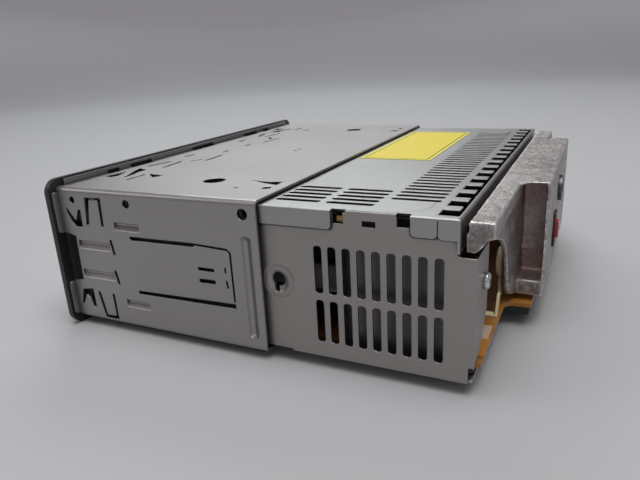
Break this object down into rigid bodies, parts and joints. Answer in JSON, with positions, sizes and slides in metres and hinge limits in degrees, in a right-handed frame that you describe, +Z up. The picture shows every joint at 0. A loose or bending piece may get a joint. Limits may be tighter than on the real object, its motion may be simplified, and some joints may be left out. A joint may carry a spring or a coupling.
{
  "type": "car cd player",
  "caption": "Slot-loading car radio and disc player for a single-height dashboard opening, in its mounting sleeve, with cast heat sink, detachable face and disc mechanism.",
  "frame": {"origin": "middle of the mounting sleeve's mouth, on the dashboard plane", "axes": "+X to the driver's right, +Y back into the dashboard along the sleeve, +Z up"},
  "size_m": [0.1886, 0.1864, 0.059],
  "materials": {
    "chip_black": "moulded epoxy",
    "socket_metal": "nickel-plated",
    "key_plastic": "moulded, fine grain",
    "fuse_red": "clear tinted",
    "case_steel": "bright zinc-plated sheet, satin",
    "screw_steel": "zinc-plated, bright",
    "can_sleeve": "shrunk film over aluminium",
    "mech_steel": "zinc-plated sheet",
    "white_plastic": "moulded acetal",
    "black_plastic": "moulded, fine grain",
    "window": "clear smoked, gloss",
    "face_board": "glass laminate, solder mask",
    "roller_rubber": "ground rubber",
    "grommet_rubber": "soft rubber",
    "brass_clip": "formed, bare",
    "rod_steel": "ground and polished",
    "cast_sink": "as-cast, rough",
    "lens": "clear, coated",
    "motor_can": "plated can",
    "board_brown": "phenolic laminate",
    "sleeve_steel": "bright zinc-plated sheet, satin",
    "choke_cream": "dipped resin",
    "mech_plastic": "moulded",
    "label_yellow": "printed film, satin",
    "ring_plastic": "moulded, slight sheen",
    "tin_can": "tinned sheet"
  },
  "bodies": {
    "sleeve": {"mounting_sleeve": "sleeve_steel", "trim_ring": "ring_plastic"},
    "case": {"case_frame": "case_steel", "top_cover": "case_steel", "bottom_cover": "case_steel", "rear_screws": "screw_steel", "bottom_screws": "screw_steel", "rating_label": "label_yellow", "heat_sink": "cast_sink", "antenna_socket": "socket_metal", "power_connector": "black_plastic", "fuse_holder": "black_plastic", "main_board": "board_brown", "capacitors": "can_sleeve", "board_chips": "chip_black", "amplifier_chip": "chip_black", "noise_capacitor": "choke_cream", "tuner_can": "tin_can", "ground_clip": "brass_clip", "front_nose": "black_plastic", "contact_block": "black_plastic", "mech_brackets": "mech_steel"},
    "fuse": {"blade_fuse": "fuse_red"},
    "flap": {"slot_flap": "black_plastic"},
    "face": {"face_shell": "black_plastic", "face_back": "black_plastic", "face_board": "face_board", "display_window": "window"},
    "knob": {"volume_knob": "key_plastic"},
    "deck": {"mech_deck": "mech_steel", "grommets": "grommet_rubber", "guide_rods": "rod_steel", "sled_motor": "motor_can", "spindle_motor": "motor_can", "loading_motor": "motor_can", "disc_guide": "white_plastic"},
    "turntable": {"turntable": "mech_plastic"},
    "arm": {"clamp_arm": "mech_steel"},
    "clamper": {"clamper": "white_plastic"},
    "sled": {"optical_sled": "mech_plastic"},
    "screw": {"sled_screw": "white_plastic"},
    "lens": {"lens_holder": "lens"},
    "roller": {"roller_shaft": "rod_steel", "feed_roller": "roller_rubber", "roller_gear": "white_plastic"},
    "wheel": {"loading_gear": "white_plastic"},
    "pinion": {"motor_pinion": "brass_clip"},
    "preset_key_1": {"preset_key_1": "key_plastic"},
    "preset_key_2": {"preset_key_2": "key_plastic"},
    "preset_key_3": {"preset_key_3": "key_plastic"},
    "preset_key_4": {"preset_key_4": "key_plastic"},
    "preset_key_5": {"preset_key_5": "key_plastic"},
    "preset_key_6": {"preset_key_6": "key_plastic"},
    "eject_key": {"eject_key": "key_plastic"},
    "source_key": {"source_key": "key_plastic"},
    "band_key": {"band_key": "key_plastic"},
    "seek_back_key": {"seek_back_key": "key_plastic"},
    "seek_next_key": {"seek_next_key": "key_plastic"},
    "release_button": {"release_button": "key_plastic"}
  },
  "joints": [
    {"name": "unit_pull_out", "type": "slide", "parent": "sleeve", "child": "case", "axis": [0, -1, 0], "range_m": [0, 0.165]},
    {"name": "face_swing", "type": "hinge", "parent": "case", "child": "face", "pos_m": [-0.086, -0.0042, 0], "axis": [0, 0, -1], "range_deg": [0, 25]},
    {"name": "knob_turn", "type": "hinge", "parent": "face", "child": "knob", "pos_m": [-0.068, -0.012, -0.005], "axis": [0, 1, 0], "continuous": true},
    {"name": "flap_swing", "type": "hinge", "parent": "case", "child": "flap", "pos_m": [0, 0.0014, 0.0162], "axis": [1, 0, 0], "range_deg": [0, 70], "stiffness_Nm_per_rad": 0.0008},
    {"name": "fuse_pull", "type": "slide", "parent": "case", "child": "fuse", "axis": [0, 1, 0], "range_m": [0, 0.0085]},
    {"name": "deck_float", "type": "slide", "parent": "case", "child": "deck", "axis": [0, 0, 1], "range_m": [-0.0008, 0.0008], "stiffness_N_per_m": 12000},
    {"name": "turntable_spin", "type": "hinge", "parent": "deck", "child": "turntable", "pos_m": [0, 0.076, 0], "axis": [0, 0, 1], "continuous": true},
    {"name": "arm_lift", "type": "hinge", "parent": "deck", "child": "arm", "pos_m": [0, 0.137, 0.0176], "axis": [-1, 0, 0], "range_deg": [0, 3.5], "stiffness_Nm_per_rad": 2, "springref_deg": -2.86},
    {"name": "clamper_spin", "type": "hinge", "parent": "arm", "child": "clamper", "pos_m": [0, 0.076, 0.015], "axis": [0, 0, 1], "continuous": true},
    {"name": "sled_travel", "type": "slide", "parent": "deck", "child": "sled", "axis": [0, 1, 0], "range_m": [0, 0.03]},
    {"name": "screw_turn", "type": "hinge", "parent": "deck", "child": "screw", "pos_m": [-0.034, 0.1, 0.0046], "axis": [0, 1, 0], "range_deg": [0, 1801]},
    {"name": "lens_focus", "type": "slide", "parent": "sled", "child": "lens", "axis": [0, 0, 1], "range_m": [-0.0006, 0.0006], "stiffness_N_per_m": 60},
    {"name": "roller_turn", "type": "hinge", "parent": "deck", "child": "roller", "pos_m": [0, 0.022, 0.008], "axis": [1, 0, 0], "continuous": true},
    {"name": "wheel_turn", "type": "hinge", "parent": "deck", "child": "wheel", "pos_m": [0.0665, 0.0373, 0.008], "axis": [1, 0, 0], "continuous": true},
    {"name": "pinion_turn", "type": "hinge", "parent": "deck", "child": "pinion", "pos_m": [0.0665, 0.0493, 0.008], "axis": [1, 0, 0], "continuous": true},
    {"name": "preset_key_1_press", "type": "slide", "parent": "face", "child": "preset_key_1", "axis": [0, 1, 0], "range_m": [0, 0.0007], "stiffness_N_per_m": 700},
    {"name": "preset_key_2_press", "type": "slide", "parent": "face", "child": "preset_key_2", "axis": [0, 1, 0], "range_m": [0, 0.0007], "stiffness_N_per_m": 700},
    {"name": "preset_key_3_press", "type": "slide", "parent": "face", "child": "preset_key_3", "axis": [0, 1, 0], "range_m": [0, 0.0007], "stiffness_N_per_m": 700},
    {"name": "preset_key_4_press", "type": "slide", "parent": "face", "child": "preset_key_4", "axis": [0, 1, 0], "range_m": [0, 0.0007], "stiffness_N_per_m": 700},
    {"name": "preset_key_5_press", "type": "slide", "parent": "face", "child": "preset_key_5", "axis": [0, 1, 0], "range_m": [0, 0.0007], "stiffness_N_per_m": 700},
    {"name": "preset_key_6_press", "type": "slide", "parent": "face", "child": "preset_key_6", "axis": [0, 1, 0], "range_m": [0, 0.0007], "stiffness_N_per_m": 700},
    {"name": "eject_key_press", "type": "slide", "parent": "face", "child": "eject_key", "axis": [0, 1, 0], "range_m": [0, 0.0007], "stiffness_N_per_m": 700},
    {"name": "source_key_press", "type": "slide", "parent": "face", "child": "source_key", "axis": [0, 1, 0], "range_m": [0, 0.0007], "stiffness_N_per_m": 700},
    {"name": "band_key_press", "type": "slide", "parent": "face", "child": "band_key", "axis": [0, 1, 0], "range_m": [0, 0.0007], "stiffness_N_per_m": 700},
    {"name": "seek_back_key_press", "type": "slide", "parent": "face", "child": "seek_back_key", "axis": [0, 1, 0], "range_m": [0, 0.0007], "stiffness_N_per_m": 700},
    {"name": "seek_next_key_press", "type": "slide", "parent": "face", "child": "seek_next_key", "axis": [0, 1, 0], "range_m": [0, 0.0007], "stiffness_N_per_m": 700},
    {"name": "release_button_press", "type": "slide", "parent": "face", "child": "release_button", "axis": [0, 1, 0], "range_m": [0, 0.0007], "stiffness_N_per_m": 700}
  ],
  "couplings": [
    {"joint": "wheel_turn", "follows": "roller_turn", "ratio": -0.66667},
    {"joint": "pinion_turn", "follows": "roller_turn", "ratio": 2},
    {"joint": "screw_turn", "follows": "sled_travel", "rad_per_m": 1047.2}
  ]
}
